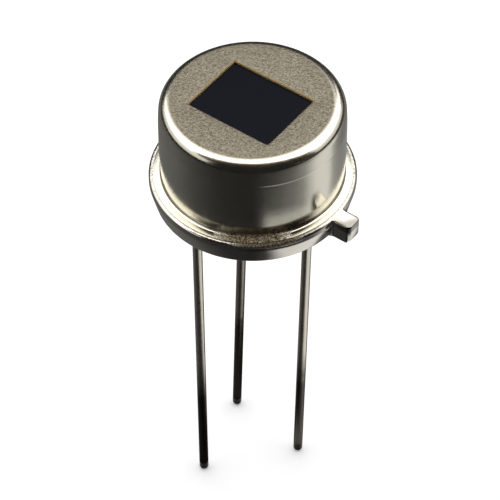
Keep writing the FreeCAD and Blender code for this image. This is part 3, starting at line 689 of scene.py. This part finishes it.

# %% [markdown]
# The header has the same plating. Its seat carries the ring left by the weld, where the
# metal is speckled and darker. The band below the lip gets painted shade to the right of the
# stain, a darker colour for the dark ground it mirrors there.

# %% Header finish
nickel_header = Finish("nickel_header", metallic=1.0)
point = nickel_header.where()
x, y, z = nickel_header.parts(point)
radius = (x * x + y * y) ** 0.5
weld = nickel_header.step(radius, 4.3, 4.4) * (1 - nickel_header.step(radius, 4.44, 4.52))
weld = weld * nickel_header.step(z, SEAT / MM - 0.02, SEAT / MM)
spatter = nickel_header.noise(point, 9.0, 3.0, 0.7)
smudge = nickel_header.noise(point, 1.3, 4.0, 0.6)
scorch, flakes = scorched(nickel_header, point, RIM_STAIN)
scorch = scorch * nickel_header.step(z, 1.0, 1.12)
scale_mask = (weld * nickel_header.step(spatter, 0.5, 0.7) * 0.5 + scorch).clamp()
scale_colour = nickel_header.mix(flakes * 0.4, SOOT_AND_SHADE, GOLDEN)

# Painted shade: the rim's band turns darker right of the stain, for the dark ground it mirrors
painted_shade = nickel_header.step(nickel_header.along(point, RIM_PAINTED_SHADE), 3.9, 4.45) * PAINTED_SHADE_STRENGTH
bright = nickel_header.mix(smudge, (0.62, 0.59, 0.52), (0.72, 0.69, 0.62))
bright = nickel_header.mix(painted_shade * nickel_header.step(z, 0.86, 0.9), bright, (0.12, 0.11, 0.10))
nickel_header.set(
    base_color=nickel_header.mix(scale_mask, bright, scale_colour),
    roughness=0.09 + smudge * 0.08 + scale_mask * 0.35,
    normal=nickel_header.bump(smudge * 0.15 + weld * spatter + scorch * flakes * 0.6, 0.5, 0.05),
)
nickel_header.wear(header)
nickel_header.report()

# %% [markdown]
# The leads are drawn wire with a thin plate, so fine lines run along them, and small
# handling marks cross them here and there. Painted shade darkens their colour in the lower
# third and on the lead behind the other two, for the dark things these parts mirror. The
# colour turns near black at the very tips.

# %% Lead finish
plated_lead = Finish("plated_lead", metallic=1.0)
point = plated_lead.where()
depth = -plated_lead.parts(point)[2]
lines = plated_lead.noise(point, 1.0, 4.0, 0.6, (22, 22, 0.35))
marks = plated_lead.noise(point, 2.2, 4.0, 0.65)
# Painted shade: the lead behind the other two is darkened, for the lead in front that it mirrors
behind = plated_lead.step(plated_lead.along(point, AWAY), 1.0, 1.6)
# Painted shade: darker colour in the lower third of each lead, for the dark ground it mirrors
painted_lead_shade = (plated_lead.step(depth + marks * 2, 12.0, 15.0) + behind * 0.45).clamp()
black_tip = plated_lead.step(depth, 18.5, 18.8)
lead_colour = plated_lead.mix(marks, (0.60, 0.565, 0.48), (0.78, 0.745, 0.65))
lead_colour = plated_lead.mix(painted_lead_shade, lead_colour, (0.075, 0.068, 0.052))
plated_lead.set(
    base_color=plated_lead.mix(black_tip, lead_colour, (0.010, 0.009, 0.008)),
    roughness=0.18 + lines * 0.12 + marks * 0.1,
    normal=plated_lead.bump(lines * 0.6 + marks * 0.4, 0.35, 0.02),
)
for wire in leads.values():
    plated_lead.wear(wire)
plated_lead.report()

# %% [markdown]
# The window is silicon under a thin-film coating that passes infrared and stops light. It
# looks almost black with a blue cast, and reflects little, so its gloss is turned down.

# %% Window finish
coated_silicon = Finish("coated_silicon", specular_ior_level=0.03)
point = coated_silicon.where()
haze = coated_silicon.noise(point, 0.5, 2.0)
dust = coated_silicon.noise(point, 14.0, 2.0, 0.7)
coated_silicon.set(
    base_color=coated_silicon.mix(haze, (0.0025, 0.003, 0.006), (0.004, 0.005, 0.009)),
    roughness=0.12 + dust * 0.1,
)
coated_silicon.wear(frame["nodes"]["filter_window"])
coated_silicon.report()

# %% [markdown]
# The remaining pieces are sealed in the can or sit under the header, and keep their CAD
# shapes. They still get real finishes, because the part is taken apart on a bench one day.
# They differ in colour, gloss and grain, so one short function makes them all.

# %% One function for the inner pieces


def grained(name, dark, light, grain, roughness, relief=0.3, metallic=0.0, nodes=()):
    """Finish with two tones, a grain size and a roughness range, put on its nodes."""
    made = Finish(name, metallic=metallic)
    point = made.where()
    fine = made.noise(point, grain, 3.0, 0.6)
    broad = made.noise(point, grain / 6, 2.0)
    made.set(
        base_color=made.mix(fine * 0.6 + broad * 0.4, dark, light),
        roughness=roughness[0] + fine * (roughness[1] - roughness[0]),
        normal=made.bump(fine, relief, 0.02),
    )
    for node in nodes:
        made.wear(frame["nodes"][node])
    print(name, "is on", ", ".join(nodes))


# %% Resins, glass and ceramics
grained("black_epoxy", (0.012, 0.012, 0.013), (0.03, 0.03, 0.03), 5, (0.2, 0.4),
        nodes=["filter_bond"])
grained("seal_glass", (0.010, 0.022, 0.02), (0.03, 0.055, 0.05), 3, (0.04, 0.12), 0.1,
        nodes=["glass_seal_drain", "glass_seal_source"])
grained("spacer_resin", (0.62, 0.58, 0.48), (0.74, 0.7, 0.6), 4, (0.45, 0.6),
        nodes=["substrate_spacer"])
grained("alumina", (0.80, 0.79, 0.75), (0.9, 0.89, 0.86), 8, (0.4, 0.55), nodes=["substrate"])
grained("support_ceramic", (0.5, 0.48, 0.44), (0.62, 0.6, 0.55), 9, (0.45, 0.6),
        nodes=["element_support_gate", "element_support_ground"])
grained("pyro_ceramic", (0.42, 0.36, 0.27), (0.52, 0.46, 0.36), 10, (0.2, 0.35), 0.1,
        nodes=["pyroelectric_plate"])
grained("mould_resin", (0.018, 0.018, 0.018), (0.04, 0.04, 0.04), 12, (0.4, 0.6), 0.4,
        nodes=["jfet_body"])
grained("resistor_ceramic", (0.72, 0.7, 0.66), (0.84, 0.82, 0.78), 9, (0.3, 0.5),
        nodes=["gate_resistor_body"])

# %% Metals and films
grained("braze", (0.5, 0.38, 0.2), (0.72, 0.58, 0.36), 6, (0.25, 0.45), 0.4, 1.0,
        ["ground_braze"])
grained("film_silver", (0.6, 0.59, 0.56), (0.78, 0.77, 0.73), 12, (0.35, 0.55), 0.5, 1.0,
        ["thick_film_tracks"])
grained("solder", (0.6, 0.6, 0.6), (0.78, 0.78, 0.79), 4, (0.15, 0.35), 0.3, 1.0,
        ["post_solder"])
grained("silver_epoxy", (0.45, 0.44, 0.42), (0.62, 0.61, 0.58), 14, (0.5, 0.7), 0.5, 0.6,
        ["element_adhesive"])
grained("absorber_film", (0.02, 0.02, 0.022), (0.05, 0.05, 0.055), 16, (0.6, 0.8), 0.3, 0.3,
        ["front_electrode"])
grained("electrode_film", (0.66, 0.66, 0.68), (0.76, 0.76, 0.78), 10, (0.15, 0.3), 0.1, 1.0,
        ["back_electrode_gate", "back_electrode_ground"])
grained("tinned_lead", (0.62, 0.62, 0.61), (0.76, 0.76, 0.75), 9, (0.25, 0.4), 0.2, 1.0,
        ["jfet_leads", "gate_resistor_terminals"])

# %% [markdown]
# The part stands on white paper. The paper glows a little, but only where the camera sees it
# directly, so it comes out white, its shadows stay, and the part gets no more light from it.

# %% Floor
FLOOR_GAP = 0.01 * MM
FLOOR_SIZE = 4000 * MM
FLOOR_GLOW = (0.14, 0.14, 0.14)
FLOOR_Z = min(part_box(f"lead_{name}")[0].z for name in LEANS) - FLOOR_GAP
floor_finish = Finish("floor_paper", roughness=0.9, specular_ior_level=0.1, emission_strength=1.0)
fibre = floor_finish.noise(floor_finish.where(), 2.0, 4.0)
to_camera = floor_finish.add("ShaderNodeLightPath", {}, {}, "Is Camera Ray")
floor_finish.set(
    base_color=floor_finish.mix(fibre, (0.93, 0.93, 0.93), (0.96, 0.96, 0.96)),
    emission_color=floor_finish.mix(to_camera, (0, 0, 0), FLOOR_GLOW),
)
bpy.ops.object.select_all(action="DESELECT")
bpy.ops.mesh.primitive_plane_add(size=FLOOR_SIZE, location=(0, 0, FLOOR_Z))
floor = bpy.context.object
floor.name = "floor"
floor_finish.wear(floor)
print("floor at", round(FLOOR_Z / MM, 2), "mm")

# %% [markdown]
# The world is white for the camera, mirrors and glass, and dim for all other rays, so that it
# fills the shadows softly.

# %% Background
WORLD_FILL = 0.35
SEEN_BY = ("Is Camera Ray", "Is Glossy Ray", "Is Transmission Ray")
world = bpy.data.worlds.new("studio")
bpy.context.scene.world = world
world.use_nodes = True
tree = world.node_tree
background = tree.nodes["Background"]
background.inputs["Color"].default_value = (1, 1, 1, 1)
path = tree.nodes.new("ShaderNodeLightPath")
seen = path.outputs[SEEN_BY[0]]
for kind in SEEN_BY[1:]:
    either = tree.nodes.new("ShaderNodeMath")
    either.operation = "MAXIMUM"
    tree.links.new(seen, either.inputs[0])
    tree.links.new(path.outputs[kind], either.inputs[1])
    seen = either.outputs[0]
strength = tree.nodes.new("ShaderNodeMapRange")
strength.inputs["To Min"].default_value = WORLD_FILL
strength.inputs["To Max"].default_value = 1.0
tree.links.new(seen, strength.inputs["Value"])
tree.links.new(strength.outputs[0], background.inputs["Strength"])
print("world nodes:", len(tree.nodes))

# %% [markdown]
# One large soft lamp hangs behind and above the part. The white band on the shoulder and the
# bright flange are its mirror image.

# %% Lamp
SOFTBOX_PLACE = (0, 100, 150)
SOFTBOX_SIZE = (440 * MM, 320 * MM)
SOFTBOX_BRIGHTNESS = 1.45
lamp_data = bpy.data.lights.new("softbox", "AREA")
lamp_data.shape = "RECTANGLE"
lamp_data.size, lamp_data.size_y = SOFTBOX_SIZE
lamp_data.energy = SOFTBOX_BRIGHTNESS * math.pi * lamp_data.size * lamp_data.size_y
lamp = bpy.data.objects.new("softbox", lamp_data)
bpy.context.scene.collection.objects.link(lamp)
lamp.location = place(*SOFTBOX_PLACE)
lamp.rotation_euler = (0, 0, CAMERA_TURN)
print("lamp power in watts:", round(lamp_data.energy, 3))

# %% [markdown]
# Bright metal shows only what it mirrors, so dark cards stand in front and round the part, as
# black flags do in a photographer's tent. They are seen in reflections alone and throw no
# shadow. A low wall goes all the way round, and is lower at the two sides. Brown board along
# the edges of the roof and the wall gives the warm tint beside the shoulder's white band.

# %% Cards
card_finish = Finish("black_cloth", roughness=0.9, specular_ior_level=0.1)
weave = card_finish.noise(card_finish.where(), 0.5, 3.0)
card_finish.set(base_color=card_finish.mix(weave, (0.012, 0.011, 0.010), (0.03, 0.028, 0.025)))
brown_finish = Finish("brown_board", roughness=0.9, specular_ior_level=0.1)
fibres = brown_finish.noise(brown_finish.where(), 0.3, 3.0)
brown_finish.set(base_color=brown_finish.mix(fibres, (0.42, 0.24, 0.10), (0.52, 0.32, 0.15)))


def card(name, points, finish=card_finish):
    """A flat card through points given to the right, away and up."""
    shape = bpy.data.meshes.new(name)
    shape.from_pydata([place(*point) for point in points], [], [range(len(points))])
    flag = bpy.data.objects.new(name, shape)
    bpy.context.scene.collection.objects.link(flag)
    finish.wear(flag)
    flag.visible_camera = flag.visible_diffuse = flag.visible_shadow = False


def upright(name, start, end, low, high, finish=card_finish):
    """A card that stands between two places on the ground."""
    card(name, [(*start, low), (*end, low), (*end, high), (*start, high)], finish)


def level(name, right, away, height, finish=card_finish):
    """A card that lies level between two distances to the right and two away."""
    corners = [(right[0], away[0]), (right[1], away[0]), (right[1], away[1]), (right[0], away[1])]
    card(name, [(*corner, height) for corner in corners], finish)


# %% Flags in front, at the right and behind
CARD_FOOT = -20
ROOF_HEIGHT = 149
front = (-175, 200)
upright("front_flag", (front[0], -140), (front[1], -140), CARD_FOOT, 180)
level("front_roof", front, (-140, -50), ROOF_HEIGHT)
level("roof_edge", front, (-50, -30), ROOF_HEIGHT, brown_finish)
upright("right_flag", (front[1], -140), (262, -80), CARD_FOOT, 200)
upright("back_flag", (-80, 120), (60, 120), CARD_FOOT, 108)

# %% Low wall all round
TENT_RADIUS, TENT_SIDES = 200, 24
SIDE_BEYOND = 150
LOW_EDGES, HIGH_EDGES = (40, 46), (76, 88)
for side in range(TENT_SIDES):
    turns = [math.tau * side / TENT_SIDES, math.tau * (side + 1) / TENT_SIDES]
    start, end = [(TENT_RADIUS * math.sin(turn), TENT_RADIUS * math.cos(turn)) for turn in turns]
    beside = abs(start[0] + end[0]) / 2 > SIDE_BEYOND
    wall_top, edge_top = LOW_EDGES if beside else HIGH_EDGES
    upright("low_wall", start, end, CARD_FOOT, wall_top)
    upright("wall_edge", start, end, wall_top, edge_top, brown_finish)
wall_cards = [o for o in bpy.data.objects if o.name.startswith(("low_wall", "wall_edge"))]
print("cards in the low wall:", len(wall_cards))

# %% [markdown]
# The wall and the rim mirror the ground, so a cloth with a painted light pattern lies just
# above the floor. Its tone changes with the heading as seen from the part, which is 0 towards
# the camera and 90 to the right: grey at the left, nearly black in front, and a white patch
# at the right. The scale starts and ends at the back, where its two tones are nearly alike.

# %% Painted cloth: tone by heading
cloth = Finish("painted_cloth", roughness=0.9, specular_ior_level=0.1)
point = cloth.where()
right, away = cloth.along(point, RIGHT), cloth.along(point, AWAY)
distance = (right * right + away * away) ** 0.5
heading = cloth.add("ShaderNodeMath", {"operation": "ARCTAN2"}, {0: right, 1: -away})
heading = heading * math.degrees(1)
tones = [(-180, 0.15), (-100, 0.125), (-70, 0.065), (-40, 0.028), (0, 0.02), (25, 0.055), (45, 0.14),
         (60, 0.33), (76, 0.9), (98, 0.9), (107, 0.3), (125, 0.17), (180, 0.2)]
tone = cloth.add("ShaderNodeValToRGB", {"stops": [((a + 180) / 360, (v, v, v)) for a, v in tones]},
                 {"Fac": heading / 360 + 0.5})
cloth.report()

# %% [markdown]
# The distance from the part counts too, because each piece mirrors a ring of its own. The
# leads and the tapered foot of the rim mirror the nearest ground, which is white right of the
# middle and dark further round. The foot of the wall mirrors the same white up to 22 mm. The
# rim's band mirrors a narrow ring beyond it, which is black, and the wall mirrors the rest.

# %% Painted cloth: patches by distance
CLOTH_HALF = 200
CLOTH_LIFT = 0.5
glow = (1 - cloth.step(distance, 24.5, 28)) * cloth.step(heading, 15, 45) * 0.12
tone = cloth.mix(glow, tone, (0.9, 0.9, 0.9))
ring = cloth.step(distance, 22.3, 22.8) * (1 - cloth.step(distance, 24.2, 24.8))
ring = ring * cloth.step(heading, 5, 18) * (1 - cloth.step(heading, 58, 68))
tone = cloth.mix(ring * 0.9, tone, (0.004, 0.004, 0.004))
shade = (1 - cloth.step(distance, 16, 19)) * cloth.step(heading, 92, 104)
tone = cloth.mix(shade * 0.85, tone, (0.02, 0.02, 0.02))
close = cloth.step(distance, 4.5, 6) * (1 - cloth.step(distance, 21.7, 22.4))
close = close * cloth.step(right, 2.6, 7) * (1 - cloth.step(heading, 92, 104))
patch = close * (0.85 + 0.1 * cloth.noise(point, 0.2, 2.0))
cloth.set(base_color=cloth.mix(patch, tone, (0.92, 0.91, 0.9)))
across = (-CLOTH_HALF, CLOTH_HALF)
level("ground_cloth", across, across, FLOOR_Z / MM + CLOTH_LIFT, cloth)
cloth.report()

# %% [markdown]
# The picture keeps plain view settings.

# %% View settings
bpy.context.scene.view_settings.view_transform = "Standard"
